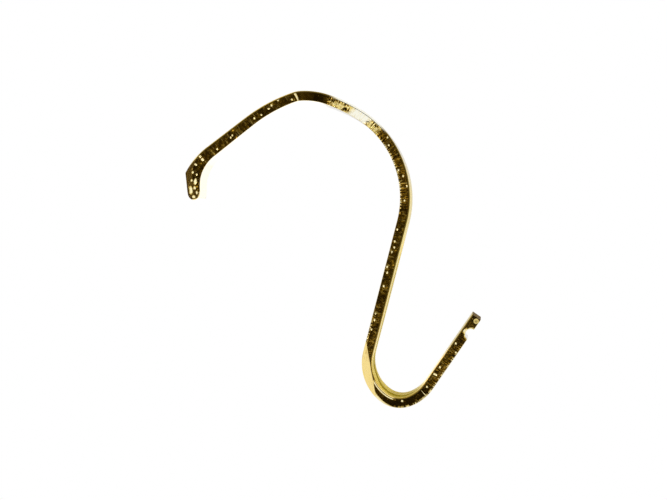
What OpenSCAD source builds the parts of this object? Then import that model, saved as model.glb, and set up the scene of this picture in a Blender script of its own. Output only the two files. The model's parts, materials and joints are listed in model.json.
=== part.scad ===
// Picture rail hook, bent the easy way from one flat strip. Sizes are in millimetres.
//
// As it hangs, +Z is up, +X points from the wall into the room and Y runs along the rail, which
// is across the strip. The origin is the rail seat: the highest place of the top bend, on the
// strip's inner face, half-way across its width.
//
// The strip has two broad faces. The outer face is uppermost on the top bend and lines the
// inside of the lower hook. The inner face sits on the rail and is outermost round the hook.

/* [Strip] */
// Width of the strip, measured along the rail
strip_w = 12.5; // [8:0.5:20]
// Thickness of the strip
strip_t = 2; // [1.5:0.1:2.6]
// Radius that the shears rolled over the edges of the outer face
roll_r = 0.35; // [0.1:0.05:0.6]

/* [Top bend over the rail] */
// Inside radius of the crown, which sits on the rail
crown_r = 13; // [8:0.5:20]
// Turn of the crown in front of the seat, in degrees
crown_turn = 20; // [10:1:30]
// Inside radius of the flatter shoulder in front of the crown
shoulder_r = 33; // [22:1:45]
// Turn of the shoulder
shoulder_turn = 11; // [4:1:18]
// Inside radius of the back of the hook, from the shoulder down to the shank
back_r = 18.5; // [14:0.5:24]
// Turn of the back
back_turn = 73.5; // [60:0.5:85]
// Length of the straight shank
shank_len = 27; // [18:0.5:40]

/* [Arm behind the rail] */
// Slope of the straight arm below level
arm_slope = 37; // [35:1:46]
// Inside radius of the crease just behind the crown
crease_r = 3; // [2:0.25:6]
// Turn of the crease
crease_turn = 14; // [6:1:16]
// Inside radius of the easy set between the crease and the straight arm
set_r = 31; // [20:1:45]
// Turn of the set
set_turn = 19; // [10:1:19]
// Length of the straight part of the arm
arm_len = 9.9; // [5:0.1:20]

/* [Lip] */
// Inside radius of the bend from the arm down into the lip
lip_r = 7.7; // [6:0.1:10]
// Turn of that bend
lip_turn = 55; // [50:1:65]
// Radius of the outer face over the knee, where the bend is filled out
knee_r = 14.8; // [12:0.2:18]
// Turn of the outer face from the arm to the sharp corner of the knee
knee_turn = 26; // [20:1:30]
// Length of the lip below its bend, with its round end
lip_len = 2.5; // [1.5:0.1:6]
// Radius of the two corners of the lip, seen along the arm
lip_corner_r = 1.5; // [0.5:0.1:3]
// Radius at which the drawn-in edges start, inside the bend
knee_draw_r = 7; // [5:0.25:8.5]
// Tilt of the drawn-in edges of the knee
knee_draw_tilt = 10; // [4:1:16]

/* [Lower hook] */
// Inside radius of both flanks of the hook
flank_r = 7.4; // [6:0.1:12]
// Turn of the flank next to the shank
back_flank_turn = 69.5; // [55:0.5:80]
// Inside radius of the bottom, where the cord lies
seat_r = 4.3; // [3:0.1:7]
// Turn of the bottom
seat_turn = 56.5; // [40:0.5:70]
// Turn of the flank next to the front arm
front_flank_turn = 34; // [20:0.5:45]
// Length of the straight front arm
front_len = 16.7; // [10:0.1:25]
// How far the drawn-in edges of the back flank reach in from the outer side
hook_draw_in = 1.8; // [0.5:0.1:2.2]
// Tilt of the drawn-in edges of the back flank
hook_draw_tilt = 20; // [8:1:28]
// Turn from the shank to the middle of the drawn-in edges
hook_draw_at = 24.5; // [15:0.5:32]

/* [Front tip] */
// Radius of the notch across the outer side of the front arm
notch_r = 1.15; // [0.6:0.05:1.5]
// Depth of the notch
notch_depth = 1.1; // [0.4:0.05:1.2]
// Distance of the middle of the notch from the end
notch_from_end = 3.5; // [2.8:0.1:6]
// Diameter of the small round dimple in one edge of the tip
dimple_d = 1; // [0.4:0.1:1.2]
// Depth of the dimple
dimple_depth = 0.12; // [0.05:0.01:0.2]
// Distance of the middle of the dimple from the end
dimple_from_end = 0.7; // [0.6:0.05:1.1]

/* [Hidden] */
$fn = 128;
// How far a cut runs past the metal that it trims
past = 1;
// How far a straight piece of the strip laps over a bend
lap = 0.05;
// A bend is this much finer than the straight strip on every side, as the metal stretches there
stretch = 0.01;
// Turn of the crown behind the seat, so that the arm comes out at its slope
crown_back_turn = arm_slope - crease_turn - set_turn;
half_t = strip_t / 2;
half_w = strip_w / 2;

// Section of the strip: thickness along X with the outer face at +X, width along Y
module section(finer = 0) {
    t = half_t - finer;
    w = half_w - finer;
    translate([-t, -w]) square([2 * t - roll_r, 2 * w]);
    translate([-t, roll_r - w]) square([2 * t, 2 * (w - roll_r)]);
    for (side = [-1, 1]) translate([t - roll_r, side * (w - roll_r)]) circle(roll_r);
}

// The strip is laid piece by piece. Each piece starts at the origin and runs along +X with its
// outer face up, and then carries its children to its far end.
module straight(length) {
    translate([-lap, 0, 0]) rotate([0, 90, 0]) rotate([0, 0, 180])
        linear_extrude(length + 2 * lap) section();
    translate([length, 0, 0]) children();
}

// Short land that joins two bends
module land() {
    straight(0);
    children();
}

// Turns a section about the bend's own axis, from +Z towards +X. The ends stay inside the
// straight pieces that lap over them.
module sweep(r, turn) {
    hold_back = lap / 2 / r * 180 / PI;
    rotate([0, -90, -90]) rotate_extrude(start = hold_back, angle = turn - 2 * hold_back)
        translate([r, 0]) children();
}

// A bend that turns down, towards the inner face
module bend_down(inside_r, turn) {
    r = inside_r + half_t;
    translate([0, 0, -r]) sweep(r, turn) section(stretch);
    translate([0, 0, -r]) rotate([0, turn, 0]) translate([0, 0, r]) children();
}

// A bend that turns up, towards the outer face
module bend_up(inside_r, turn) {
    r = inside_r + half_t;
    translate([0, 0, r]) mirror([0, 0, 1]) sweep(r, turn) mirror([1, 0]) section(stretch);
    translate([0, 0, r]) rotate([0, -turn, 0]) translate([0, 0, -r]) children();
}

// Carries its children to the end of the lip's straight part, from the end of the arm
module at_lip_end() {
    r = lip_r + half_t;
    translate([0, 0, -r]) rotate([0, lip_turn, 0]) translate([lip_len, 0, r]) children();
}

// Side view of the room that the lip takes up, in the plane of X and the second axis
module lip_side() {
    bend_axis = [0, -lip_r - half_t];
    away = [sin(lip_turn), cos(lip_turn)];
    along = [cos(lip_turn), -sin(lip_turn)];
    t = half_t - 2 * stretch;
    end_axis = bend_axis + (lip_r + half_t) * away + (lip_len - t) * along;
    knee = [0, half_t - stretch - knee_r] + knee_r * [sin(knee_turn), cos(knee_turn)];
    outer_end = end_axis + t * away;
    up_the_lip = (knee - outer_end) / norm(knee - outer_end);
    polygon([
        [0, half_t + past],
        knee + 2 * strip_t * up_the_lip,
        outer_end,
        end_axis - t * away,
        bend_axis + (lip_r + 2 * stretch) * away,
        bend_axis
    ]);
    translate(end_axis) circle(t - stretch);
}

// The lip hooks down behind the rail. Its knee is filled out to a sharp corner, and the edges
// beside the knee are drawn in, which leaves a smooth sloping facet on each.
module lip() {
    difference() {
        knee_disc();
        beside_lip();
        translate([0, 0, -lip_r - half_t]) rotate([90, 0, 0])
            cylinder(h = strip_w + 2 * past, r = lip_r + stretch, center = true);
        for (side = [0, 1]) mirror([0, side, 0]) {
            knee_draw();
            at_lip_end() lip_corner();
        }
    }
}

// Disc with rolled edges, whose rim is the outer face of the knee
module knee_disc() {
    w = half_w - stretch;
    translate([0, 0, half_t - stretch - knee_r]) rotate([90, 0, 0]) rotate_extrude() {
        translate([0, -w]) square([knee_r - roll_r, 2 * w]);
        translate([0, roll_r - w]) square([knee_r, 2 * (w - roll_r)]);
        for (side = [-1, 1]) translate([knee_r - roll_r, side * (w - roll_r)]) circle(roll_r);
    }
}

// All of the disc that isn't lip
module beside_lip() {
    rotate([90, 0, 0]) linear_extrude(strip_w + 2 * past, center = true) difference() {
        square(5 * knee_r, center = true);
        lip_side();
    }
}

// Rounds one corner of the lip, from the lip's end
module lip_corner() {
    linear_extrude(4 * strip_t, center = true) difference() {
        translate([-lip_corner_r, half_w - lip_corner_r]) square(lip_corner_r + past);
        translate([-lip_corner_r, half_w - lip_corner_r]) circle(lip_corner_r + stretch);
    }
}

// Shallow cone that draws in one edge of the knee
module knee_draw() {
    reach = 2 * (lip_r + strip_t);
    translate([0, 0, half_t - knee_draw_r]) rotate([90, 0, 0]) rotate_extrude()
        polygon([
            [knee_draw_r, half_w],
            [knee_draw_r + reach, half_w - reach * tan(knee_draw_tilt)],
            [knee_draw_r + reach, half_w + past],
            [knee_draw_r, half_w + past]
        ]);
}

// Flat facet that draws in one edge of the back flank, from the start of that flank
module hook_draw() {
    outer_r = flank_r + strip_t;
    inset = outer_r - hook_draw_in;
    half_chord = sqrt(outer_r * outer_r - inset * inset) + past;
    reach = hook_draw_in + past;
    translate([0, 0, flank_r + half_t]) rotate([0, -hook_draw_at, 0]) translate([0, 0, -inset])
        rotate([0, 90, 0]) linear_extrude(2 * half_chord, center = true)
            polygon([
                [0, half_w],
                [reach, half_w - reach * tan(hook_draw_tilt)],
                [reach, half_w + past],
                [0, half_w + past]
            ]);
}

// Notch across the outer side of the tip and the dimple in its edge, from the end of the arm
module tip_cuts() {
    ball_r = (dimple_d * dimple_d / 4 + dimple_depth * dimple_depth) / (2 * dimple_depth);
    translate([-notch_from_end, 0, notch_depth - notch_r - half_t]) rotate([90, 0, 0])
        cylinder(h = strip_w + 2 * past, r = notch_r, center = true);
    translate([-dimple_from_end, dimple_depth - half_w - ball_r, dimple_d * 0.6 - half_t])
        sphere(ball_r);
}

// Rear of the strip, laid from the seat towards the wall
module rear_run() {
    bend_down(crown_r, crown_back_turn) land()
    bend_down(crease_r, crease_turn) land()
    bend_down(set_r, set_turn)
    straight(arm_len)
    lip();
}

// Carries its children from the seat, over the top and down to the end of the shank
module front_run() {
    land()
    bend_down(crown_r, crown_turn) land()
    bend_down(shoulder_r, shoulder_turn) land()
    bend_down(back_r, back_turn)
    straight(shank_len)
    children();
}

// The lower hook, from the end of the shank
module lower_run() {
    bend_up(flank_r, back_flank_turn) land()
    bend_up(seat_r, seat_turn) land()
    bend_up(flank_r, front_flank_turn)
    difference() {
        translate([-lap, 0, 0]) rotate([0, 90, 0]) rotate([0, 0, 180])
            linear_extrude(front_len + lap) section();
        translate([front_len, 0, 0]) tip_cuts();
    }
}

module hook() {
    color("darkgoldenrod") translate([0, 0, half_t]) {
        mirror([1, 0, 0]) rear_run();
        front_run() difference() {
            lower_run();
            for (side = [0, 1]) mirror([0, side, 0]) hook_draw();
        }
    }
}

hook();
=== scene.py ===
import json
import math
from collections import namedtuple

import bmesh
import bpy
from mathutils import Matrix, Vector, kdtree

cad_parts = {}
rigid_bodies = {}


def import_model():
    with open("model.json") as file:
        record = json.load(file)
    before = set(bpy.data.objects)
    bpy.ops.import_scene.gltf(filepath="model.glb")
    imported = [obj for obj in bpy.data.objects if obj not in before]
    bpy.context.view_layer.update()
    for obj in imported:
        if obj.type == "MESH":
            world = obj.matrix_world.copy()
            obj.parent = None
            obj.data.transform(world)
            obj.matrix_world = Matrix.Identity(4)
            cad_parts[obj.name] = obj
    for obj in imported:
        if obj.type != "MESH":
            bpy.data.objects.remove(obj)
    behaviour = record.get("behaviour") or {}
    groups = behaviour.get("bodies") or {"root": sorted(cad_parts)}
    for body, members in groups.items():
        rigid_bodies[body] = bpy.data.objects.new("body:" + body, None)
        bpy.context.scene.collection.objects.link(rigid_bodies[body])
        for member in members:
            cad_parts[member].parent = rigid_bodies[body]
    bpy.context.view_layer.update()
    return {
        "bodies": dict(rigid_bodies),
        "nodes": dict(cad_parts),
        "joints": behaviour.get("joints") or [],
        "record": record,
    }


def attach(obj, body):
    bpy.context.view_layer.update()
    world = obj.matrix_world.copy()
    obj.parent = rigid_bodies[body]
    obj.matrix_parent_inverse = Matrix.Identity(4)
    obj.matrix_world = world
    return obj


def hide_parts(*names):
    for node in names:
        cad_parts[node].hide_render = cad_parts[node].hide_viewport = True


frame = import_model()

# ---------------------------------------------------------------------------------------------
# Sizes, in metres. The rail seat is the origin, +X points into the room, +Y runs along the rail.

MM = 0.001
STRIP_W = 12.5 * MM
STRIP_T = 2 * MM
ROLL_R = 0.35 * MM          # roll-over of the outer face's edges
BURR_R = 0.06 * MM          # the inner face's crisper edges
BURR_FROM = -31.6           # where they start, on the lip, in millimetres along the strip
HALF_W = STRIP_W / 2
HALF_T = STRIP_T / 2
PAST = 1 * MM               # how far a cutter runs past the metal
STEP = 0.4 * MM             # length of one facet along a bend
STRAIGHT_STEP = 6 * STEP
PLACE_STEP = 0.1 * MM       # how closely places along the strip are told apart
HAIR = 0.01 * MM            # slack when a place is compared with an edge
CLOSE = 0.002 * MM          # points nearer than this are one point while the strip is laid
SAME = 0.0005 * MM          # and these when it has been cut
ON_FACE = 0.99              # at least this far out, in millimetres, is on a broad face
SMOOTH_BELOW = math.radians(8.5)

FLARE = 0.58 * MM           # how far the near edge spreads past the inner face, on arm and lip
FLARE_FROM = 3              # measured from the seat, in millimetres
FLARE_OVER = 27
FLARE_IN = 1.8 * MM

ARM_LEN = 9.9 * MM
LIP_R = 7.7 * MM
LIP_TURN = math.radians(55)
LIP_LEN = 2.5 * MM
LIP_ROUND_LEN = 1.45 * MM   # length of the rounded end
LIP_ROUND_STEPS = 16
LIP_CORNER_R = 0.7 * MM
KNEE_R = 14.8 * MM
KNEE_TURN = math.radians(26)
KNEE_DRAW_R = 7 * MM
KNEE_DRAW_TILT = math.radians(10)

FLANK_R = 7.4 * MM
FRONT_LEN = 16.7 * MM
HOOK_DRAW_IN = 1.8 * MM
HOOK_DRAW_TILT = math.radians(20)
HOOK_DRAW_AT = math.radians(24.5)
NOTCH_R = 1.15 * MM
NOTCH_DEPTH = 1.1 * MM
NOTCH_FROM_END = 3.5 * MM
NOTCH_OUT = NOTCH_DEPTH - NOTCH_R - HALF_T      # its axis, from the strip's middle
DIMPLE_D = 1 * MM
DIMPLE_DEPTH = 0.12 * MM
DIMPLE_FROM_END = 0.7 * MM
DIMPLE_OUT = DIMPLE_D * 0.6 - HALF_T

# The strip as it is laid from the rail seat: "down" turns towards the inner face, "up" away
Bend = namedtuple("Bend", "inside_r turn way")
Straight = namedtuple("Straight", "length")


def bend(inside_r_mm, turn, way="down"):
    return Bend(inside_r_mm * MM, math.radians(turn), 1 if way == "down" else -1)


TOP_RUN = [bend(13, 20), bend(33, 11), bend(18.5, 73.5), Straight(27 * MM)]
LOWER_RUN = [bend(7.4, 69.5, "up"), bend(4.3, 56.5, "up"), bend(7.4, 34, "up"), Straight(FRONT_LEN)]
ARM_RUN = [bend(13, 4), bend(3, 14), bend(31, 19), Straight(ARM_LEN)]
LIP_STRAIGHT = Straight(LIP_LEN - LIP_ROUND_LEN)
LIP_RUN = [Bend(LIP_R, LIP_TURN, 1), LIP_STRAIGHT]


class End:
    """The free end of the strip while it is laid, on its centre line."""

    def __init__(self, side, laid=0.0, place=(0, 0, HALF_T), angle=0.0):
        self.side = side            # 1 towards the room, -1 towards the wall
        self.laid = laid            # length from the seat
        self.place = Vector(place)
        self.angle = angle          # how far the strip has turned down

    @property
    def ahead(self):
        return Vector((self.side * math.cos(self.angle), 0, -math.sin(self.angle)))

    @property
    def outward(self):
        return Vector((self.side * math.sin(self.angle), 0, math.cos(self.angle)))

    def at(self, along=0.0, out=0.0, width=0.0):
        """A point seen from this end: along the strip, out of its outer face, across its width."""
        return self.place + self.ahead * along + self.outward * out + Vector((0, width, 0))

    def axis_of(self, part):
        return self.at(out=-part.way * (part.inside_r + HALF_T))

    def after(self, part):
        if isinstance(part, Straight):
            return End(self.side, self.laid + part.length, self.at(along=part.length), self.angle)
        axis = self.axis_of(part)
        turned = End(self.side, 0, axis, self.angle + part.way * part.turn)
        r = part.inside_r + HALF_T
        return End(self.side, self.laid + r * part.turn, turned.at(out=part.way * r), turned.angle)


def ends_of(start, run):
    """The end before each part of a run, and the one after the last part."""
    ends = [start]
    for part in run:
        ends.append(ends[-1].after(part))
    return ends


SEAT_FRONT = End(1)
SEAT_REAR = End(-1)
SHANK_END = ends_of(SEAT_FRONT, TOP_RUN)[-1]
ARM_END = ends_of(SEAT_REAR, ARM_RUN)[-1]
LIP_BEND_END = ARM_END.after(LIP_RUN[0])
LIP_ROUND_START = LIP_BEND_END.after(LIP_STRAIGHT)
FRONT_END = ends_of(SHANK_END, LOWER_RUN)[-1]


# ---------------------------------------------------------------------------------------------
# Modelling by hand, in edit mode


def deselect():
    bpy.ops.object.select_all(action="DESELECT")


def edit(obj, select="VERT"):
    deselect()
    obj.select_set(True)
    bpy.context.view_layer.objects.active = obj
    bpy.ops.object.mode_set(mode="EDIT")
    bpy.ops.mesh.select_mode(type=select)


def done():
    bpy.ops.object.mode_set(mode="OBJECT")
    return bpy.context.object


def pick(test, kind="verts"):
    """Selects the elements that the test accepts, and nothing else."""
    mesh = bmesh.from_edit_mesh(bpy.context.object.data)
    for group in (mesh.faces, mesh.edges, mesh.verts):
        for element in group:
            element.select = False
    for element in getattr(mesh, kind):
        if test(element):
            element.select_set(True)
    mesh.select_flush_mode()
    bmesh.update_edit_mesh(bpy.context.object.data)


def near(*points):
    """A test for a vertex at one of some points."""
    return lambda vert: any((vert.co - point).length < CLOSE for point in points)


def bend_steps(inside_r, turn):
    return max(4, math.ceil((inside_r + HALF_T) * turn / STEP))


def lay(end, part):
    """Lays one part of the strip on from the selected line."""
    if isinstance(part, Straight):
        count = max(1, round(part.length / STRAIGHT_STEP))
        for _ in range(count):
            bpy.ops.mesh.extrude_region_move(
                TRANSFORM_OT_translate={"value": end.ahead * (part.length / count)}
            )
    else:
        bpy.ops.mesh.spin(
            steps=bend_steps(part.inside_r, part.turn),
            angle=-part.turn * part.way * end.side,
            center=end.axis_of(part),
            axis=(0, 1, 0),
        )
    return end.after(part)


def lip_side():
    """The knee and the end of the lip, seen from the side, from the end of the arm."""
    bend_axis = Vector((0, -LIP_R - HALF_T))
    away = Vector((math.sin(LIP_TURN), math.cos(LIP_TURN)))
    along = Vector((math.cos(LIP_TURN), -math.sin(LIP_TURN)))
    knee_axis = Vector((0, HALF_T - KNEE_R))
    knee = knee_axis + KNEE_R * Vector((math.sin(KNEE_TURN), math.cos(KNEE_TURN)))
    outer_end = bend_axis + (LIP_R + STRIP_T) * away + (LIP_LEN - HALF_T) * along
    return bend_axis, knee_axis, knee, outer_end


def cross(a, b):
    return a.x * b.y - a.y * b.x


def lip_thickness(turn, along=0.0):
    """Thickness of the lip at a turn round its bend, or at a length past the bend."""
    bend_axis, knee_axis, knee, outer_end = lip_side()
    away = Vector((math.sin(turn), math.cos(turn)))
    inner = bend_axis + LIP_R * away + along * Vector((math.cos(turn), -math.sin(turn)))
    from_knee_axis = inner - knee_axis
    b = from_knee_axis.dot(away)
    to_rim = -b + math.sqrt(b * b - from_knee_axis.length_squared + KNEE_R * KNEE_R)
    side = outer_end - knee
    to_side = cross(knee - inner, side) / cross(away, side)
    return min(to_rim, to_side)


def knee_turn_in_bend():
    bend_axis, _, knee, _ = lip_side()
    return math.atan2(knee.x, knee.y - bend_axis.y)


def shifted(end):
    """The same end, on the near edge of the strip."""
    return End(end.side, end.laid, (end.place.x, -HALF_W, end.place.z), end.angle)


def start_line():
    """One line across the strip's thickness at the seat, in the plane of its near edge."""
    bpy.ops.mesh.primitive_plane_add(size=STRIP_T, location=(HALF_T, -HALF_W, HALF_T))
    strip = bpy.context.object
    strip.name = "bent_strip"
    bpy.ops.object.transform_apply(location=True, rotation=False, scale=False)
    edit(strip)
    bpy.ops.mesh.select_all(action="SELECT")
    bpy.ops.transform.rotate(
        value=math.pi / 2, orient_axis="X", center_override=(HALF_T, -HALF_W, HALF_T)
    )
    pick(lambda vert: vert.co.x > HALF_T)
    bpy.ops.mesh.delete(type="VERT")


def lay_run(seat, run):
    """Lays a run of the strip on from the line at the seat."""
    pick(lambda vert: abs(vert.co.x) < CLOSE and vert.co.z < 2 * STRIP_T)
    end = seat
    for part in run:
        end = lay(shifted(end), part)
    return end


def lay_lip(end):
    """The lip, in two turns so that a line runs across it at the knee, and filled out there."""
    knee_turn = knee_turn_in_bend()
    lines = []                  # where each line across it lies: turn in the bend, length past it
    turned = 0
    for turn in (knee_turn, LIP_TURN - knee_turn):
        end = lay(shifted(end), Bend(LIP_R, turn, 1))
        steps = bend_steps(LIP_R, turn)
        lines += [(turned + turn * step / steps, 0.0) for step in range(1, steps + 1)]
        turned += turn
    for half in (0.5, 1):
        end = lay(shifted(end), Straight(LIP_STRAIGHT.length / 2))
        lines.append((LIP_TURN, LIP_STRAIGHT.length * half))
    for turn, along in lines:
        line = shifted(ARM_END.after(Bend(LIP_R, turn, 1)).after(Straight(along)))
        inner = line.at(out=-HALF_T)
        pick(near(inner, line.at(out=HALF_T)))
        grow = lip_thickness(turn, along) / STRIP_T
        bpy.ops.transform.resize(value=(grow, grow, grow), center_override=inner)


def round_lip():
    """Rounds the lip's end over from face to face."""
    tip = shifted(LIP_ROUND_START)
    pick(near(tip.at(out=-HALF_T)))
    bpy.ops.mesh.spin(
        steps=LIP_ROUND_STEPS, angle=math.pi * tip.side, center=tip.place, axis=(0, 1, 0)
    )
    for step in range(1, LIP_ROUND_STEPS):
        turn = math.pi * step / LIP_ROUND_STEPS
        pick(near(tip.at(HALF_T * math.sin(turn), -HALF_T * math.cos(turn))))
        longer = (LIP_ROUND_LEN - HALF_T) * math.sin(turn)
        bpy.ops.transform.translate(value=tip.ahead * longer)
    bpy.ops.mesh.select_all(action="SELECT")
    bpy.ops.mesh.remove_doubles(threshold=CLOSE)
    pick(lambda vert: (vert.co - tip.place).length < LIP_ROUND_LEN + HAIR
         and (vert.co - tip.place).dot(tip.ahead) > -HAIR)
    bpy.ops.mesh.edge_face_add()


def lay_strip():
    """The strip seen from the side, as one flat ribbon in the plane of its near edge."""
    start_line()
    lay_run(SEAT_FRONT, TOP_RUN + LOWER_RUN)
    lay_lip(lay_run(SEAT_REAR, ARM_RUN))
    round_lip()
    return done()


def widen(strip):
    """Takes the ribbon across the rail, from the near edge of the strip to its far edge."""
    edit(strip)
    bpy.ops.mesh.select_all(action="SELECT")
    for across in (FLARE_IN, STRIP_W - 2 * FLARE_IN, FLARE_IN):
        bpy.ops.mesh.extrude_region_move(TRANSFORM_OT_translate={"value": (0, across, 0)})
    bpy.ops.mesh.select_all(action="SELECT")
    bpy.ops.mesh.normals_make_consistent(inside=False)
    done()


def flare(strip):
    """Spreads the near edge of the inner face a little, where the arm and lip were pressed."""
    edit(strip)
    mesh = bmesh.from_edit_mesh(strip.data)
    moves = {}
    for vert in mesh.verts:
        place = laid_out.near(vert.co)
        if vert.co.y > -HALF_W + HAIR or place.along > -FLARE_FROM:
            continue
        amount = FLARE * min(1, (-place.along - FLARE_FROM) / FLARE_OVER)
        from_tip = vert.co - LIP_ROUND_START.place
        if from_tip.dot(LIP_ROUND_START.ahead) > CLOSE:
            below = -from_tip.dot(LIP_ROUND_START.outward) / HALF_T
            moves[tuple(vert.co)] = LIP_ROUND_START.outward * -amount * max(0, 0.5 + 0.5 * below)
        elif place.out < -ON_FACE:
            moves[tuple(vert.co)] = laid_out.end_near(vert.co).outward * -amount
    for point, move in moves.items():
        pick(near(Vector(point)))
        bpy.ops.transform.translate(value=move)
    done()


def round_edges(strip):
    """Rolls over the edges of the outer face, and eases the sharper ones of the inner face."""

    def middle_of(edge):
        return (edge.verts[0].co + edge.verts[1].co) / 2

    def at_rim(edge):
        sides = [abs(face.normal.y) > 0.5 for face in edge.link_faces]
        return len(sides) == 2 and sides[0] != sides[1]

    def of_outer_face(edge):
        if not at_rim(edge):
            return False
        place = laid_out.near(middle_of(edge))
        from_tip = middle_of(edge) - LIP_ROUND_START.place
        if from_tip.dot(LIP_ROUND_START.ahead) > CLOSE and place.along < 0:
            return True
        return place.out > 0 and not (place.along > front_end and abs(place.out) < ON_FACE)

    def of_inner_face(edge):
        if not at_rim(edge) or of_outer_face(edge):
            return False
        return BURR_FROM < laid_out.near(middle_of(edge)).along < front_end

    front_end = laid_out.longest - HAIR / MM
    edit(strip, "EDGE")
    pick(of_outer_face, "edges")
    bpy.ops.mesh.bevel(offset=ROLL_R, segments=12, affect="EDGES", clamp_overlap=False)
    pick(of_inner_face, "edges")
    bpy.ops.mesh.bevel(offset=BURR_R, segments=3, affect="EDGES", clamp_overlap=False)
    done()


Laid = namedtuple("Laid", "along out width")


class LaidOut:
    """Where a point of the hook was on the straight strip, in millimetres."""

    def __init__(self):
        self.ends = []
        for seat, run in ((SEAT_REAR, ARM_RUN + LIP_RUN), (SEAT_FRONT, TOP_RUN + LOWER_RUN)):
            end = seat
            for part in run:
                if isinstance(part, Straight):
                    count = max(1, math.ceil(part.length / PLACE_STEP))
                    pieces = [Straight(part.length / count)] * count
                else:
                    arc = (part.inside_r + HALF_T) * part.turn
                    count = max(1, math.ceil(arc / PLACE_STEP))
                    pieces = [Bend(part.inside_r, part.turn / count, part.way)] * count
                for piece in pieces:
                    self.ends.append(end)
                    end = end.after(piece)
            self.ends.append(end)
        self.longest = self.ends[-1].laid / MM
        self.tree = kdtree.KDTree(len(self.ends))
        for index, end in enumerate(self.ends):
            self.tree.insert(end.place, index)
        self.tree.balance()

    def end_near(self, point):
        _, index, _ = self.tree.find(Vector((point.x, 0, point.z)))
        return self.ends[index]

    def near(self, point):
        end = self.end_near(point)
        offset = point - end.place
        along = end.side * (end.laid + offset.dot(end.ahead))
        return Laid(along / MM, offset.dot(end.outward) / MM, point.y / MM)


def cut(obj, cutters):
    """Takes the cutters away from a piece."""
    for cutter in cutters:
        modifier = obj.modifiers.new("cut", "BOOLEAN")
        modifier.operation = "DIFFERENCE"
        modifier.solver = "EXACT"
        modifier.object = cutter
        deselect()
        obj.select_set(True)
        bpy.context.view_layer.objects.active = obj
        bpy.ops.object.modifier_apply(modifier=modifier.name)
        bpy.data.objects.remove(cutter)


def settle():
    """Gives the active piece's place and turn to its mesh."""
    bpy.ops.object.transform_apply(location=True, rotation=True, scale=True)
    return bpy.context.object


def aligned(end, place):
    """Turns and moves the active piece so that its X runs along the strip and its Z outwards."""
    across = Vector((0, 1, 0)) if end.side > 0 else Vector((0, -1, 0))
    frame = Matrix((end.ahead, across, end.outward)).transposed().to_4x4()
    frame.translation = place
    bpy.context.object.matrix_world = frame
    return settle()


def knee_cone(side):
    """A disc with a sloping rim, which draws in one edge of the knee."""
    reach = 2 * (LIP_R + STRIP_T)
    drop = reach * math.tan(KNEE_DRAW_TILT)
    deselect()
    bpy.ops.mesh.primitive_cylinder_add(
        radius=KNEE_DRAW_R + reach, depth=drop + PAST, vertices=240,
        location=(0, 0, (PAST - drop) / 2),
    )
    disc = settle()
    edit(disc, "FACE")
    pick(lambda face: face.normal.z < -0.9, "faces")
    bpy.ops.mesh.inset(thickness=reach, depth=0)
    bpy.ops.transform.translate(value=(0, 0, drop))
    done()
    disc.location = ARM_END.at(out=HALF_T - KNEE_DRAW_R, width=side * HALF_W)
    disc.rotation_euler = (-side * math.pi / 2, 0, 0)
    settle()
    edit(disc)
    bpy.ops.mesh.select_all(action="SELECT")
    bpy.ops.mesh.bisect(
        plane_co=ARM_END.place, plane_no=ARM_END.ahead, use_fill=True, clear_inner=True
    )
    return done()


def flank_wedge(side):
    """A wedge that draws in one edge of the lower hook's back flank."""
    outer_r = FLANK_R + STRIP_T
    inset = outer_r - HOOK_DRAW_IN
    half_chord = math.sqrt(outer_r ** 2 - inset ** 2) + PAST
    reach = HOOK_DRAW_IN + PAST
    deselect()
    bpy.ops.mesh.primitive_cube_add(size=1)
    wedge = bpy.context.object
    wedge.scale = (2 * half_chord, PAST, reach)
    wedge.location = (0, side * (HALF_W + PAST / 2), -inset - reach / 2)
    settle()
    edit(wedge)
    pick(lambda vert: vert.co.z < -inset - reach / 2 and abs(vert.co.y) < HALF_W + PAST / 2)
    bpy.ops.transform.translate(value=(0, -side * reach * math.tan(HOOK_DRAW_TILT), 0))
    done()
    flank = LOWER_RUN[0]
    turned = End(1, 0, SHANK_END.axis_of(flank), SHANK_END.angle - HOOK_DRAW_AT)
    return aligned(turned, turned.place)


def lip_corner_block(side):
    """What comes off one corner of the lip's end."""
    end = LIP_BEND_END.after(Straight(LIP_LEN))
    middle = -LIP_CORNER_R
    deselect()
    bpy.ops.mesh.primitive_cube_add(size=1)
    block = bpy.context.object
    size = LIP_CORNER_R + PAST
    block.scale = (size, size, 4 * STRIP_T)
    block.location = (middle + size / 2, side * (HALF_W - LIP_CORNER_R + size / 2), 0)
    settle()
    deselect()
    bpy.ops.mesh.primitive_cylinder_add(
        radius=LIP_CORNER_R, depth=5 * STRIP_T, vertices=96,
        location=(middle, side * (HALF_W - LIP_CORNER_R), 0),
    )
    cut(block, [settle()])
    return aligned(end, end.place)


def dimple_ball():
    """A ball that only just enters the near edge."""
    radius = (DIMPLE_D ** 2 / 4 + DIMPLE_DEPTH ** 2) / (2 * DIMPLE_DEPTH)
    place = FRONT_END.at(-DIMPLE_FROM_END, DIMPLE_OUT, DIMPLE_DEPTH - HALF_W - radius)
    deselect()
    bpy.ops.mesh.primitive_uv_sphere_add(radius=radius, segments=96, ring_count=64, location=place)
    return settle()


def notch_rod():
    """A rod across the strip, which leaves the notch."""
    deselect()
    bpy.ops.mesh.primitive_cylinder_add(
        radius=NOTCH_R, depth=STRIP_W + 2 * PAST, vertices=96,
        location=FRONT_END.at(-NOTCH_FROM_END, NOTCH_OUT), rotation=(math.pi / 2, 0, 0),
    )
    return settle()


def mark_places(strip):
    """Keeps each point's place on the straight strip, for the patterns that follow the strip."""
    places = strip.data.attributes.new("laid_out", "FLOAT_VECTOR", "POINT")
    for vert, place in zip(strip.data.vertices, places.data):
        place.vector = laid_out.near(vert.co)


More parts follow.
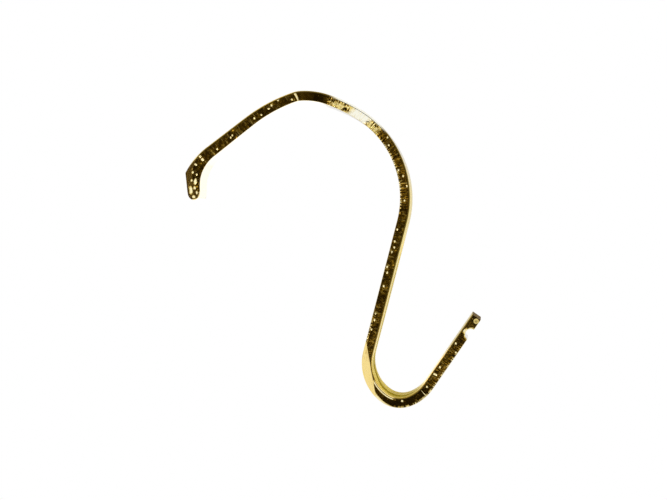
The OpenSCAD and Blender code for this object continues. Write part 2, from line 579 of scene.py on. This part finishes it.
laid_out = LaidOut()
strip = lay_strip()
widen(strip)
flare(strip)
round_edges(strip)
cut(strip, [knee_cone(-1), knee_cone(1)])
cut(strip, [flank_wedge(-1), flank_wedge(1)])
cut(strip, [lip_corner_block(-1), lip_corner_block(1), notch_rod(), dimple_ball()])
edit(strip)
bpy.ops.mesh.select_all(action="SELECT")
bpy.ops.mesh.remove_doubles(threshold=SAME)
bpy.ops.mesh.select_mode(type="FACE")
pick(lambda face: len(face.verts) > 4, "faces")
bpy.ops.mesh.quads_convert_to_tris(quad_method="BEAUTY", ngon_method="BEAUTY")
done()
mark_places(strip)
deselect()
strip.select_set(True)
bpy.context.view_layer.objects.active = strip
bpy.ops.object.shade_smooth_by_angle(angle=SMOOTH_BELOW)
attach(strip, "root")
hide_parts("hook")


# ---------------------------------------------------------------------------------------------
# Finishes. Patterns follow the strip: along, out of the outer face and across, in millimetres.


class Value:
    """A number that changes over a surface, with sums written as Python expressions."""

    def __init__(self, finish, socket):
        self.finish = finish
        self.socket = socket

    def math(self, operation, *others):
        node = self.finish.node("ShaderNodeMath", {"operation": operation}, self, *others)
        return Value(self.finish, node.outputs[0])

    def __add__(self, other):
        return self.math("ADD", other)

    def __sub__(self, other):
        return self.math("SUBTRACT", other)

    def __mul__(self, other):
        return self.math("MULTIPLY", other)

    def __rsub__(self, other):
        node = self.finish.node("ShaderNodeMath", {"operation": "SUBTRACT"}, other, self)
        return Value(self.finish, node.outputs[0])

    __radd__ = __add__
    __rmul__ = __mul__

    def __abs__(self):
        return self.math("ABSOLUTE")

    def at_most(self, other):
        return self.math("MINIMUM", other)

    def at_least(self, other):
        return self.math("MAXIMUM", other)

    def rise(self, low, high):
        """0 below low, 1 above high, and smooth between them."""
        node = self.finish.node(
            "ShaderNodeMapRange", {"interpolation_type": "SMOOTHSTEP"}, self, low, high, 0.0, 1.0
        )
        return Value(self.finish, node.outputs[0])

    def fall(self, low, high):
        return 1 - self.rise(low, high)

    def band(self, low, high, soft):
        """1 between low and high, and 0 outside them."""
        return self.rise(low - soft, low + soft) * self.fall(high - soft, high + soft)


# The Mix node has sockets for every kind of value; these are its factor and its two colours
COLOUR_MIX = (0, 6, 7)
COLOUR_MIX_RESULT = 2


class Finish:
    """A node tree that is built up by name."""

    def __init__(self, tree):
        self.tree = tree

    def node(self, kind, settings=None, *inputs, **named):
        node = self.tree.nodes.new(kind)
        for name, value in (settings or {}).items():
            setattr(node, name, value)
        for key, value in list(enumerate(inputs)) + list(named.items()):
            self.put(node.inputs[key], value)
        return node

    def put(self, socket, value):
        if isinstance(value, Value):
            value = value.socket
        if isinstance(value, bpy.types.NodeSocket):
            self.tree.links.new(value, socket)
        else:
            socket.default_value = value

    def point(self, along, out, across):
        node = self.node("ShaderNodeCombineXYZ", None, along, out, across)
        return node.outputs[0]

    def noise(self, where, detail=2.0, rough=0.5, size=1.0):
        node = self.node(
            "ShaderNodeTexNoise", {"noise_dimensions": "3D"},
            Vector=where, Scale=1 / size, Detail=detail, Roughness=rough,
        )
        return Value(self, node.outputs["Fac"])

    def blend(self, share, first, second):
        node = self.node("ShaderNodeMix", {"data_type": "RGBA"})
        for socket, value in zip(COLOUR_MIX, (share, first, second)):
            self.put(node.inputs[socket], value)
        return node.outputs[COLOUR_MIX_RESULT]


DEEP_BRASS = (0.75, 0.41, 0.03, 1)
BRASS = (0.88, 0.67, 0.18, 1)
YELLOW_BRASS = (0.91, 0.7, 0.25, 1)
# The next two are painted highlight colours
HIGHLIGHT_PALE_BRASS = (1.0, 0.88, 0.5, 1)
HIGHLIGHT_WHITE_BRASS = (1.0, 0.98, 0.84, 1)
BROWN_BRASS = (0.42, 0.2, 0.008, 1)
DARK_BRASS = (0.12, 0.06, 0.006, 1)
# The next two are painted shade and dark reflection on the broad faces
OLIVE_SHADE_BRASS = (0.32, 0.22, 0.04, 1)
DARK_REFLECTION_BRASS = (0.14, 0.09, 0.015, 1)
TORN_BRASS = (0.2, 0.13, 0.02, 1)

# Stretches of the strip, from the rail seat towards the room
CROWN = (-1, 4.3)
# The shoulder's painted golden sheen, and within it its painted white highlight
SHEEN_AROUND_SHOULDER = (5.4, 17.0)
SHOULDER_HIGHLIGHT = (10.2, 14.0)
BACK_BEND = (15, 34)
RIDGE = (41, 82)
FACET_STREAK = (62.5, 65)
BESIDE_FACET = (69.5, 75.5)
FACET_END = 76
HOOK_BOTTOM = (71, 83)
FRONT_FLANK = (84, 97)
FRONT_ARM = (90, 92)        # where it begins
ABOVE_NOTCH = (96.6, 97.5)

# Small nicks on the cut edge, each also painted lighter as a glint: along and out
NICK_GLINTS = (
    (-20.9, -0.6), (-17.3, -0.4), (-16.8, -0.3), (-11.2, -0.2), (-9.6, -0.4), (-7.7, -0.1),
    (-6.9, 0.2), (-5.3, 0.6), (-2.7, -0.3), (19.0, 0.5), (20.4, -0.2), (25.8, -0.5),
    (27.2, 0.1), (29.3, 0.5), (32.1, -0.1), (38.1, -0.5), (40.5, -0.4), (41.7, -0.2),
    (42.7, -0.4), (45.8, -0.6), (46.9, -0.3), (49.7, -0.3), (55.4, -0.5), (56.7, -0.4),
    (58.7, -0.5), (77.4, 0.4), (83.5, 0.2), (88.2, 0.3), (92.4, -0.6), (93.9, 0.4),
)
NICK_GLINT_REACH = (0.27, 0.24)
# Lines that the bending tools pressed in: along, lean, lowest and highest place, width
PRESS_MARKS = (
    (-24.5, -0.1, 0.3, 0.8, 0.24), (-24.6, 0, -0.5, 0.0, 0.3), (-26.2, 0, 0.1, 0.6, 0.2),
    (86.5, 0.12, -0.1, 0.65, 0.2),
)
# Where the lip was hammered: along, out, and how far each dent reaches along and out
DENTS = (
    (-31.4, 0.3, 1.1, 0.42), (-32.7, -0.2, 0.3, 0.5), (-30.9, -0.5, 0.4, 0.4),
    (-29.6, -0.6, 0.8, 0.36), (-29.4, 0.2, 0.3, 0.26), (-27.8, 0.3, 0.34, 0.26),
    (-28.0, -0.6, 0.3, 0.24), (-31.9, -0.9, 0.4, 0.24),
)


def metal(name):
    """An empty brass finish, with the places along, out and across of the strip."""
    material = bpy.data.materials.new(name)
    material.use_nodes = True
    finish = Finish(material.node_tree)
    finish.shader = material.node_tree.nodes["Principled BSDF"]
    finish.shader.inputs["Metallic"].default_value = 1
    finish.shader.inputs["Coat Roughness"].default_value = 0.06
    places = finish.node("ShaderNodeAttribute", {"attribute_name": "laid_out"})
    split = finish.node("ShaderNodeSeparateXYZ", None, places.outputs["Vector"])
    along, out, across = (Value(finish, socket) for socket in split.outputs)
    return material, finish, along, out, across


def finish_off(finish, colour, roughness, height, coat):
    """Connects a finish; height is in millimetres."""
    bump = finish.node("ShaderNodeBump", None, Strength=1.0, Distance=MM, Height=height)
    for name, value in (
        ("Base Color", colour), ("Roughness", roughness), ("Normal", bump.outputs[0]),
        ("Coat Weight", coat),
    ):
        finish.put(finish.shader.inputs[name], value)


def press_mark(along, out, place, lean=0.0, low=-1.2, high=1.2, width=0.16):
    """Nearness to a line that a bend's tool pressed across the edge, from 0 to 1."""
    off = abs(along - place + out * lean)
    return (1 - off * (1 / width)).at_least(0) * out.band(low, high, 0.08)


def blob(along, out, place, height, reach_along, reach_out):
    """Nearness to a spot on the cut edge, from 0 to 1."""
    aside = (along - place) * (1 / reach_along)
    above = (out - height) * (1 / reach_out)
    return 1 - (aside * aside + above * above).at_most(1)


def dents_and_sheen(finish, along, out, here):
    """The lip's hammered dent marks, with ragged rims; they tilt in the bump and are painted
    lighter as highlights and golden sheen.
    """
    ragged = finish.noise(here, 3.0, 0.6, 0.5)
    dent = blob(along, out, *DENTS[0])
    for place in DENTS[1:]:
        dent = dent.at_least(blob(along, out, *place))
    dent = (dent + (ragged - 0.5) * 1.5).rise(0.15, 0.75)
    return dent * along.fall(-27.2, -26.8) * out.fall(0.65, 0.85)


def shoulder_shine(along, out, mottle, fine_shear, shear):
    """How far the shoulder has its painted white highlight, how near it a place is, and all that is
    polished there: tilted in the bump, and painted lighter as highlight and golden sheen.
    """
    shoulder = (along - out * 0.5).band(*SHOULDER_HIGHLIGHT, 0.7)
    around = (along + (mottle - 0.5) * 4).band(*SHEEN_AROUND_SHOULDER, 0.6)
    tilt_and_sheen_patches = around * (mottle * 0.6 + fine_shear * 0.4).rise(0.44, 0.54)
    return shoulder, around, (shoulder * (0.75 + shear * 0.5)).at_least(tilt_and_sheen_patches)


def nicks_and_glints(along, out, mottle):
    """The small nick marks, with ragged rims, which tilt in the bump and are painted lighter as
    glints.
    """
    nick = blob(along, out, *NICK_GLINTS[0], *NICK_GLINT_REACH)
    for place in NICK_GLINTS[1:]:
        nick = nick.at_least(blob(along, out, *place, *NICK_GLINT_REACH))
    return (nick + (mottle - 0.5) * 1.5).rise(0.2, 0.8)


def border_nicks_and_glints(along, out, mottle, fine_shear):
    """Nick marks along the border of the inner face, and a border past the drawn-in facet, which
    tilt in the bump and are painted lighter as glints.
    """
    border = out.fall(-0.85, -0.55) * fine_shear.rise(0.52, 0.58)
    border = border * (along.band(18, 34, 2) + along.band(57, 63, 1) + along.band(77, 93, 2))
    tail = (out + 1.05 - (FACET_END - along) * 0.12).fall(0, 0.2) * along.band(68, 75.5, 0.5)
    beside = along.band(*BESIDE_FACET, 0.7) * out.rise(0.4, 0.5) * mottle.rise(0.3, 0.42)
    return (border + beside + tail * mottle.rise(0.3, 0.45)).at_most(1)


def press_marks_and_glints(along, out, grain):
    """The lines that the bending tools pressed across the edge, which are also painted lighter as
    highlights.
    """
    marks = press_mark(along, out, -1.6, 0.25, width=0.22)
    for mark in PRESS_MARKS:
        marks = marks.at_least(press_mark(along, out, *mark))
    return marks.at_least(press_mark(along, out, 82.1, width=0.1) * grain.rise(0.45, 0.6))


def squared_from(along, out, place, height):
    """Squared distance from a place on the cut edge, in square millimetres."""
    aside = along - place / MM
    above = out - height / MM
    return aside * aside + above * above


def dimple_and_notch(along, out, mottle, grain):
    """The lighter colour in the dimple, and a tilted rim round the notch that is painted lighter as
    a highlight.
    """
    length = laid_out.longest * MM
    dimple = squared_from(along, out, length - DIMPLE_FROM_END, DIMPLE_OUT).fall(0.22, 0.36)
    from_notch = squared_from(along, out, length - NOTCH_FROM_END, NOTCH_OUT).math("SQRT")
    rim = from_notch - NOTCH_R / MM + (mottle - 0.5) * 1.2
    rim = rim.fall(0.0, 0.35) * (0.35 + grain)
    above_notch = along.band(*ABOVE_NOTCH, 0.25) * (out + mottle).rise(0.4, 0.6)
    rim = (rim + above_notch * mottle.rise(0.35, 0.6)).at_most(1)
    return dimple, rim * along.rise(*FRONT_ARM)


def cut_edge():
    """Sheared edge of the strip: dark mottled brass with shear marks and small bright nicks."""
    material, finish, along, out, across = metal("sheared_brass_edge")
    here = finish.point(along, out, across)
    mottle = finish.noise(here, 3.0, 0.65, 0.8)
    patches = finish.noise(here, 2.0, 0.5, 2.4)
    grain = finish.noise(here, 2.0, 0.6, 0.25)
    shear = finish.noise(finish.point(along * 2.6, out * 0.5, across * 0.5), 3.0, 0.65, 1.0)
    fine_shear = finish.noise(finish.point(along * 5, out * 0.4, across * 0.5), 2.0, 0.5, 1.0)

    # Bends stretch the edge, which opens the shear marks there
    streaky = (along.band(*BACK_BEND, 1.5) + along.band(*FRONT_FLANK, 1) * 0.6).at_most(1)
    # The crown and the bottom of the lower hook were left smooth by the tool; they, the front flank
    # and the tip are also painted darker as dark reflection
    smooth = (along.band(*CROWN, 1) + along.band(*HOOK_BOTTOM, 2) * 0.7).at_most(1)
    painted_dark_reflection = along.band(1.5, CROWN[1], 1.2) + along.band(73, 84, 1.5)
    painted_dark_reflection = painted_dark_reflection + along.rise(84, 85) * 0.2 + along.rise(97.5, 98.5) * 0.5

    # The shoulder took most of the polishing: it is smoother, tilted in the bump, and painted with
    # a white highlight and golden sheen around it
    shoulder, around, polished = shoulder_shine(along, out, mottle, fine_shear, shear)
    polished = polished.at_least(dents_and_sheen(finish, along, out, here))
    nick = nicks_and_glints(along, out, mottle)
    border = border_nicks_and_glints(along, out, mottle, fine_shear)
    marks = press_marks_and_glints(along, out, grain)
    dimple, rim = dimple_and_notch(along, out, mottle, grain)

    height = (
        (mottle - 0.5) * 0.09 * (1 - smooth * 0.8)
        + (grain - 0.5) * 0.01
        + (shear - 0.5) * (0.02 + streaky * 0.13)
        - marks * 0.16
        + (nick + polished + border + rim).at_most(1) * out * 0.55
    )
    # The nicks, the polished shoulder, the dents, the press marks, the border and the notch rim are
    # painted lighter below as highlights and glints; the dimple is lighter too
    light = (nick + polished + marks.rise(0.05, 0.4) + border + rim + dimple).at_most(1)
    colour = finish.blend(mottle.rise(0.4, 0.62), BROWN_BRASS, DEEP_BRASS)
    bright_shear = shear.rise(0.53, 0.66) * (1 - smooth) * (0.6 + streaky * 0.2)
    colour = finish.blend(bright_shear, colour, BRASS)
    # Painted dark reflection, with random darker patches and dark lines in the stretched shear
    # marks
    dark = patches.rise(0.5, 0.65) * 0.6 + painted_dark_reflection * 0.8
    dark = dark + streaky * fine_shear.fall(0.44, 0.54) * 0.9
    colour = finish.blend(dark.at_most(0.92), colour, DARK_BRASS)
    # Painted highlights: brass, then pale brass where they are strongest
    colour = finish.blend(light.rise(0, 0.45), colour, BRASS)
    golden = around * (1 - shoulder) * grain.fall(0.48, 0.6) * 0.9 + dimple * 0.75
    colour = finish.blend(light.rise(0.45, 0.95) * (1 - golden), colour, HIGHLIGHT_PALE_BRASS)
    # Painted white highlight on the shoulder, streaked with brass
    colour = finish.blend(shoulder, colour, HIGHLIGHT_WHITE_BRASS)
    colour = finish.blend(shoulder * fine_shear.fall(0.34, 0.44) * 0.8, colour, BRASS)
    roughness = 0.13 + (mottle.rise(0.4, 0.7) * 0.16 + shear.rise(0.5, 0.7) * 0.2) * (1 - smooth)
    roughness = roughness * (1 - light * 0.5) * (1 - shoulder * 0.6) + dimple * 0.4
    finish_off(finish, colour, roughness, height, coat=light * 0.1)
    return material


def end_face():
    """The strip's sheared end, left rough and dark."""
    material, finish, along, out, across = metal("sheared_end")
    torn = finish.noise(finish.point(across * 3, out, along), 3.0, 0.6, 1.0)
    colour = finish.blend(torn.rise(0.4, 0.6), DARK_BRASS, TORN_BRASS)
    finish_off(finish, colour, 0.5 + torn * 0.2, (torn - 0.5) * 0.1, coat=0)
    finish.shader.inputs["Metallic"].default_value = 0.15
    finish.shader.inputs["Specular IOR Level"].default_value = 0.1
    return material


def drawn_in():
    """Smooth facet that the bending tool pressed into an edge."""
    material, finish, along, out, across = metal("pressed_brass_facet")
    here = finish.point(along, out, across)
    drag = finish.noise(finish.point(along * 0.4, out * 3, across * 0.4), 3.0, 0.6, 1.0)
    grain = finish.noise(here, 2.0, 0.6, 0.3)
    dent_sheen = dents_and_sheen(finish, along, out, here)
    # At the lip the facet is painted brown as a dark reflection, and has no coat
    lip = along.fall(-5, 0)
    streak = along.band(*FACET_STREAK, 0.6) * (drag + out * 0.1).band(0.5, 0.56, 0.02)
    colour = finish.blend(drag.rise(0.45, 0.8), YELLOW_BRASS, BRASS)
    colour = finish.blend(lip * (0.6 + drag * 0.4) + streak * 0.6, colour, BROWN_BRASS)
    # Painted highlight and golden sheen on the lip's dents
    colour = finish.blend(dent_sheen.rise(0, 0.4), colour, BRASS)
    colour = finish.blend(dent_sheen.rise(0.4, 1), colour, HIGHLIGHT_PALE_BRASS)
    height = (drag - 0.5) * 0.012 + (grain - 0.5) * 0.006 - dent_sheen * out * 0.25
    finish_off(finish, colour, 0.12 + grain * 0.1, height, coat=1 - lip)
    return material


def broad_face(name, edge_tint, ridge_height):
    """A polished broad face of the strip, with faint lines from the rolling; its rolled-over edges
    and the bottom of the lower hook are partly painted with dark reflection, shade and highlight.
    """
    material, finish, along, out, across = metal(name)
    lines = finish.noise(finish.point(along * 0.05, out, across * 2.2), 4.0, 0.7, 1.0)
    cloud = finish.noise(finish.point(along, out, across), 2.0, 0.5, 5.0)
    scratch = finish.noise(finish.point(along * 0.35, out, across * 7), 2.0, 0.5, 1.0)
    bends = finish.noise(finish.point(along * 3, out, across * 0.1), 2.0, 0.5, 1.0)
    outer = out.rise(0.9, 0.99)
    # The rolled-over edges are rougher and painted dark as a dark reflection, except beside the
    # facet and at the shoulder, where they are painted with a white highlight
    bright = along.band(*BESIDE_FACET, 0.5) + along.band(6, 15.5, 1.5)
    rolled = out.band(0.5, 0.95, 0.03) * (1 - bright)
    rolled_shoulder = out.band(0.3, 0.97, 0.02) * along.band(6, 17, 1.5)
    # What hung in the lower hook rubbed its bottom to a satin roughness; the same mask paints it
    # darker olive as shade
    rubbed = outer * along.band(64.5, 81, 2.5)
    satin_and_shade = rubbed * (0.2 + lines.rise(0.35, 0.6) * 0.3)
    # The tool that drew the strip down left a shallow ridge, which moves over at the bend
    aside = across - 1.9 + along.rise(68.5, 72) * 3.4
    ridge = aside.rise(-2.4, 2.0) * aside.fall(2.0, 4.4) * along.band(*RIDGE, 6)

    colour = finish.blend(lines.rise(0.35, 0.8), YELLOW_BRASS, BRASS)
    colour = finish.blend(cloud.rise(0.5, 0.75) * 0.15, colour, DEEP_BRASS)
    colour = finish.blend(satin_and_shade, colour, OLIVE_SHADE_BRASS)
    colour = finish.blend(rolled, colour, DARK_REFLECTION_BRASS)
    colour = finish.blend(rolled_shoulder, colour, HIGHLIGHT_WHITE_BRASS)
    roughness = 0.08 + lines.rise(0.4, 0.7) * 0.08 + cloud * 0.06 + rolled * 0.15 + satin_and_shade * 0.35
    height = (lines - 0.5) * 0.006 + (scratch - 0.5) * 0.002 + (bends - 0.5) * 0.003
    coat = (1 - outer * along.rise(20, 32)) * (1 - rolled)
    finish_off(finish, colour, roughness, height + ridge * ridge_height, coat)
    finish.shader.inputs["Specular Tint"].default_value = edge_tint
    return material


OUTER_FACE, CUT_EDGE, FACET, INNER_FACE, SHEARED_END = range(5)
for material in (
    broad_face("polished_outer_face", (0.97, 0.83, 0.16, 1), ridge_height=0.4),
    cut_edge(),
    drawn_in(),
    broad_face("polished_inner_face", (1, 1, 1, 1), ridge_height=0),
    end_face(),
):
    strip.data.materials.append(material)


def finish_at(face):
    """Which of the finishes a face of the strip has."""
    sideways = abs(face.normal.y)
    from_end = face.center - FRONT_END.place
    from_dimple = face.center - FRONT_END.at(-DIMPLE_FROM_END, DIMPLE_OUT, -HALF_W)
    if sideways > 0.999:
        return CUT_EDGE
    if from_end.dot(FRONT_END.ahead) > -HAIR and from_end.length < STRIP_W:
        return SHEARED_END
    if any(abs(sideways - math.cos(tilt)) < 0.002 for tilt in (KNEE_DRAW_TILT, HOOK_DRAW_TILT)):
        return FACET
    if from_dimple.length < DIMPLE_D / 2 + 2 * HAIR:
        return CUT_EDGE
    return INNER_FACE if laid_out.near(face.center).out < 0 else OUTER_FACE


for face in strip.data.polygons:
    face.material_index = finish_at(face)

# ---------------------------------------------------------------------------------------------
# The stage: a pale floor well below that fades into a white tent of light, with a dark opening
# that only the metal shows, on the side that the near edge faces


FLOOR_SIZE = 1.6
FLOOR_HEIGHT = -0.2
FLOOR_FADE = (0.35, 0.65)       # distances from its middle


def paper():
    """Pale floor that fades away with the distance."""
    material = bpy.data.materials.new("pale_floor")
    material.use_nodes = True
    material.node_tree.nodes.clear()
    finish = Finish(material.node_tree)
    place = finish.node("ShaderNodeTexCoord").outputs["Object"]
    length = finish.node("ShaderNodeVectorMath", {"operation": "LENGTH"}, place)
    far = Value(finish, length.outputs["Value"])
    cloth = finish.node("ShaderNodeBsdfDiffuse", None, Color=(0.9, 0.9, 0.9, 1))
    clear = finish.node("ShaderNodeBsdfTransparent")
    mix = finish.node(
        "ShaderNodeMixShader", None, far.rise(*FLOOR_FADE), cloth.outputs[0], clear.outputs[0]
    )
    finish.node("ShaderNodeOutputMaterial", None, mix.outputs[0])
    return material


deselect()
bpy.ops.mesh.primitive_plane_add(size=FLOOR_SIZE, location=(0, 0, FLOOR_HEIGHT))
floor = bpy.context.object
floor.name = "floor"
floor.data.materials.append(paper())

scene = bpy.context.scene
scene.view_settings.view_transform = "Standard"


def tent():
    """The tent of light, white for the camera, and with darker parts that only the metal shows."""
    world = bpy.data.worlds.new("white_tent")
    world.use_nodes = True
    world.node_tree.nodes.clear()
    finish = Finish(world.node_tree)
    way = finish.node("ShaderNodeTexCoord").outputs["Generated"]
    split = finish.node("ShaderNodeSeparateXYZ", None, way)
    x, y, z = (Value(finish, socket) for socket in split.outputs)

    # In degrees from the middle of the opening
    angle = (0 - y).at_most(1).at_least(-1).math("ARCCOSINE").math("DEGREES")
    opening = angle.fall(30, 41)
    side_gap = angle.band(76, 88, 6) * (0.35 + 0.65 * z.fall(0.2, 0.7))
    behind = angle.rise(125, 155)
    horizon = abs(z + 0.1).fall(0.0, 0.5) * abs(y).fall(0.35, 0.55)
    # A dark ring behind the hook, half as dark in its middle, which ends above a slope
    ring = angle.fall(164, 167)
    backdrop = angle.rise(138, 144) * ring.at_least(x.fall(0.07, 0.1) * 0.48)
    backdrop = backdrop * (z + x * 0.6).rise(-0.085, -0.07)
    shine = 1.04 - opening * 0.99 - side_gap * 0.5 - horizon * 0.35 + behind * 0.2
    shine = (shine - backdrop).at_least(0.04)

    rays = finish.node("ShaderNodeLightPath")
    seen = Value(finish, rays.outputs["Is Camera Ray"])
    mirrored = Value(finish, rays.outputs["Is Glossy Ray"])
    strength = seen + mirrored * (1 - seen) * shine + (1 - seen) * (1 - mirrored) * 0.8
    light = finish.node("ShaderNodeBackground", None, Color=(1, 1, 1, 1), Strength=strength)
    finish.node("ShaderNodeOutputWorld", None, light.outputs[0])
    return world


scene.world = tent()

LAMP_PLACE = Vector((-0.35, 0.1, 0.6))
LAMP_AIM = Vector((0, 0, -0.03))

deselect()
bpy.ops.object.light_add(type="AREA", location=LAMP_PLACE)
lamp = bpy.context.object
lamp.name = "soft_box"
lamp.data.shape = "DISK"
lamp.data.size = 0.4
lamp.data.energy = 2.2
lamp.rotation_euler = (LAMP_AIM - LAMP_PLACE).to_track_quat("-Z", "Y").to_euler()

AZIMUTH = math.radians(4.849)
ELEVATION = math.radians(0.799)
AIM = Vector((0.00585, -0.00625, -0.02983))
DISTANCE = 0.35714
LENS = 96.5                     # in millimetres, with the sensor's width
SENSOR_WIDTH = 36

forward = Vector((
    -math.sin(AZIMUTH) * math.cos(ELEVATION),
    math.cos(AZIMUTH) * math.cos(ELEVATION),
    -math.sin(ELEVATION),
))
camera_data = bpy.data.cameras.new("camera")
camera_data.lens = LENS
camera_data.sensor_width = SENSOR_WIDTH
camera = bpy.data.objects.new("camera", camera_data)
scene.collection.objects.link(camera)
camera.location = AIM - forward * DISTANCE
camera.rotation_euler = forward.to_track_quat("-Z", "Y").to_euler()
scene.camera = camera
